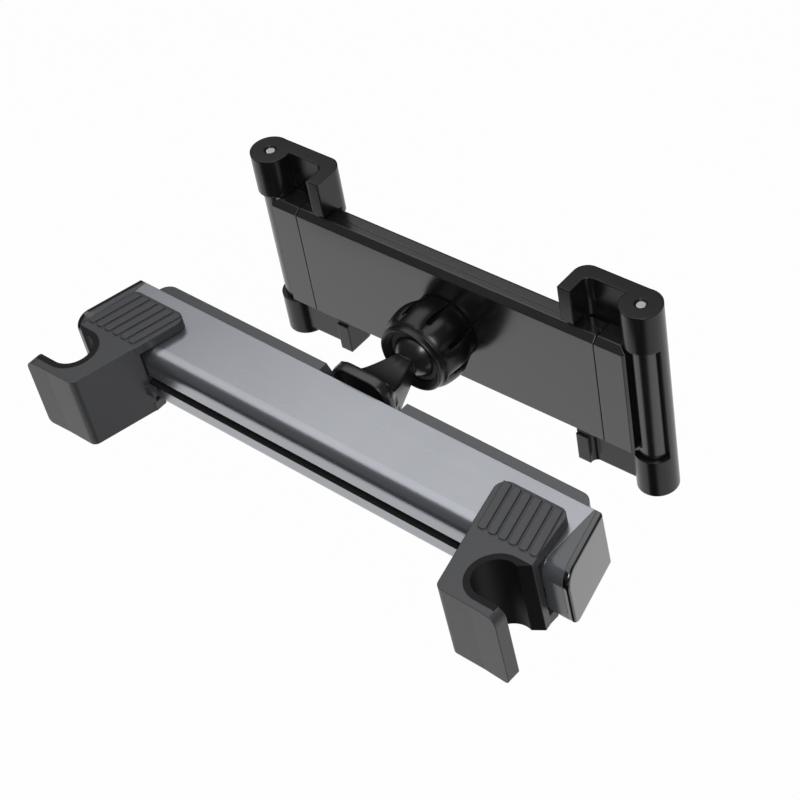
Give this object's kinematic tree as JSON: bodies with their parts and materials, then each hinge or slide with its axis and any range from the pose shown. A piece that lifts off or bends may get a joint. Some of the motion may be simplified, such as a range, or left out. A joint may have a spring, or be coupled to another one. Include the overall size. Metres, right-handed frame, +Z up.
{
  "type": "headrest tablet mount",
  "caption": "Headrest mount for a tablet: a bar with two sliding post hooks, a short arm with a ball joint and collar nut, and a spring cradle with folding hooks.",
  "frame": {"origin": "midway between the axes of the two headrest posts, at half the height of the post hooks", "axes": "+X along the bar, +Y from the posts back to the tablet, +Z up along the posts"},
  "size_m": [0.209, 0.1105, 0.0801],
  "materials": {
    "black_plastic": "fine satin grain",
    "cradle_black": "semi-gloss",
    "gloss_black": "polished",
    "grey_cap": "satin paint",
    "grey_shell": "satin anodised grey",
    "seat_plastic": "smooth acetal",
    "soft_rubber": "matt",
    "spring_steel": "drawn wire",
    "steel": "bright"
  },
  "bodies": {
    "bar": {"bar_shell": "grey_shell", "bar_rear_plate": "black_plastic", "rear_plate_screws": "steel", "bar_inner_block": "black_plastic", "left_end_cap": "grey_cap", "right_end_cap": "grey_cap", "left_end_plate": "gloss_black", "right_end_plate": "gloss_black", "ball_arm": "gloss_black", "arm_screws": "steel", "left_hook_spring": "spring_steel", "right_hook_spring": "spring_steel"},
    "left_post_grip": {"left_post_hook": "black_plastic", "left_hook_liner": "soft_rubber", "left_slider": "black_plastic", "left_slider_screws": "steel"},
    "right_post_grip": {"right_post_hook": "black_plastic", "right_hook_liner": "soft_rubber", "right_slider": "black_plastic", "right_slider_screws": "steel"},
    "ball_pitch_seat": {"rear_ball_cup": "seat_plastic"},
    "ball_yaw_seat": {"front_ball_ring": "seat_plastic"},
    "cradle": {"rear_cover": "cradle_black", "front_cover": "cradle_black", "cover_screws": "steel", "tablet_pad": "soft_rubber", "ball_socket": "cradle_black", "left_slide_spring": "spring_steel", "right_slide_spring": "spring_steel"},
    "nut": {"collar_nut": "gloss_black"},
    "left_cradle_end": {"left_slide": "cradle_black"},
    "right_cradle_end": {"right_slide": "cradle_black"},
    "left_tablet_hook": {"left_folding_hook": "cradle_black", "left_hinge_pin": "steel"},
    "right_tablet_hook": {"right_folding_hook": "cradle_black", "right_hinge_pin": "steel"}
  },
  "joints": [
    {"name": "left_grip_slide", "type": "slide", "parent": "bar", "child": "left_post_grip", "axis": [1, 0, 0], "range_m": [0, 0.028], "stiffness_N_per_m": 180, "springref_m": -0.02},
    {"name": "right_grip_slide", "type": "slide", "parent": "bar", "child": "right_post_grip", "axis": [-1, 0, 0], "range_m": [0, 0.028], "stiffness_N_per_m": 180, "springref_m": -0.02},
    {"name": "ball_pitch", "type": "hinge", "parent": "bar", "child": "ball_pitch_seat", "pos_m": [0, 0.0674, 0.0019], "axis": [1, 0, 0], "range_deg": [-12, 12]},
    {"name": "ball_yaw", "type": "hinge", "parent": "ball_pitch_seat", "child": "ball_yaw_seat", "pos_m": [0, 0.0674, 0.0019], "axis": [0, 0, 1], "range_deg": [-12, 12]},
    {"name": "ball_roll", "type": "hinge", "parent": "ball_yaw_seat", "child": "cradle", "pos_m": [0, 0.0674, 0.0019], "axis": [-0.0445, 0.9985, -0.0314], "range_deg": [-90, 90]},
    {"name": "collar_nut_turn", "type": "hinge", "parent": "cradle", "child": "nut", "pos_m": [0, 0.0674, 0.0019], "axis": [-0.0445, 0.9985, -0.0314], "range_deg": [0, 90]},
    {"name": "left_cradle_slide", "type": "slide", "parent": "cradle", "child": "left_cradle_end", "axis": [-0.9986, -0.0436, 0.0297], "range_m": [0, 0.028], "stiffness_N_per_m": 150, "springref_m": -0.02},
    {"name": "right_cradle_slide", "type": "slide", "parent": "cradle", "child": "right_cradle_end", "axis": [0.9986, 0.0436, -0.0297], "range_m": [0, 0.028], "stiffness_N_per_m": 150, "springref_m": -0.02},
    {"name": "left_hook_fold", "type": "hinge", "parent": "left_cradle_end", "child": "left_tablet_hook", "pos_m": [-0.07428, 0.08407, 0.00346], "axis": [0.0283, 0.0327, 0.9991], "range_deg": [0, 90]},
    {"name": "right_hook_fold", "type": "hinge", "parent": "right_cradle_end", "child": "right_tablet_hook", "pos_m": [0.07251, 0.09047, -0.0009], "axis": [-0.0283, -0.0327, -0.9991], "range_deg": [0, 90]}
  ]
}
